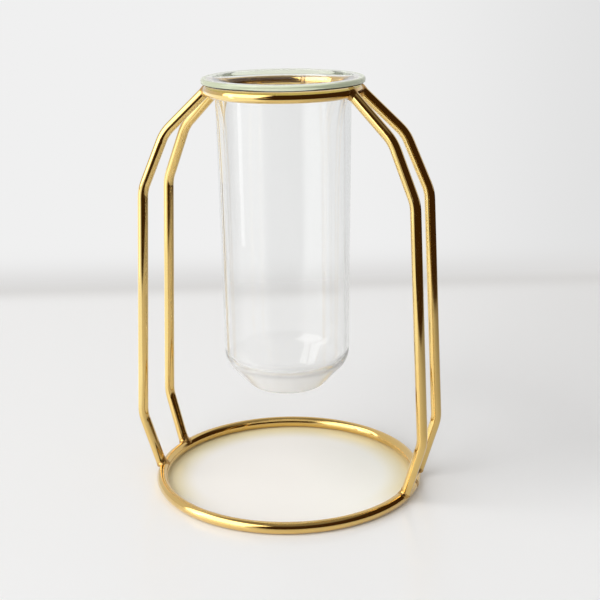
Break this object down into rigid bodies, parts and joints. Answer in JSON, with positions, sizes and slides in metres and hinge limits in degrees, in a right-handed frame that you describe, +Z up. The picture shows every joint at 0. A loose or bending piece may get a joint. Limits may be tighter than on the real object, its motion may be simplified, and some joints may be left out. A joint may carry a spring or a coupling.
{
  "type": "glass tube flower vase on a wire stand",
  "caption": "Round-bottomed clear glass tube with a flat flange, hung in the top ring of a bent-wire stand on a round wire base.",
  "frame": {"origin": "on the table under the middle of the base ring, where the stand rests", "axes": "+Z up along the axis of the glass tube and of both rings; the two pairs of legs stand on the -X and +X sides, and -Y is the front"},
  "size_m": [0.115, 0.1034, 0.155],
  "materials": {
    "clear_glass": "fire-polished clear soda-lime glass",
    "gold_wire": "bright gold plating on round steel wire",
    "weld": "gold plating over a slightly matt weld bead"
  },
  "bodies": {
    "stand": {"top_ring": "gold_wire", "top_ring_seam": "weld", "base_ring": "gold_wire", "base_ring_seam": "weld", "leg_front_left": "gold_wire", "leg_back_left": "gold_wire", "leg_front_right": "gold_wire", "leg_back_right": "gold_wire", "weld_top_front_left": "weld", "weld_top_back_left": "weld", "weld_top_front_right": "weld", "weld_top_back_right": "weld", "weld_foot_front_left": "weld", "weld_foot_back_left": "weld", "weld_foot_front_right": "weld", "weld_foot_back_right": "weld"},
    "glass": {"glass_tube": "clear_glass"}
  },
  "joints": [
    {"name": "glass_lift", "type": "slide", "parent": "stand", "child": "glass", "axis": [0, 0, 1], "range_m": [0, 0.12]}
  ]
}
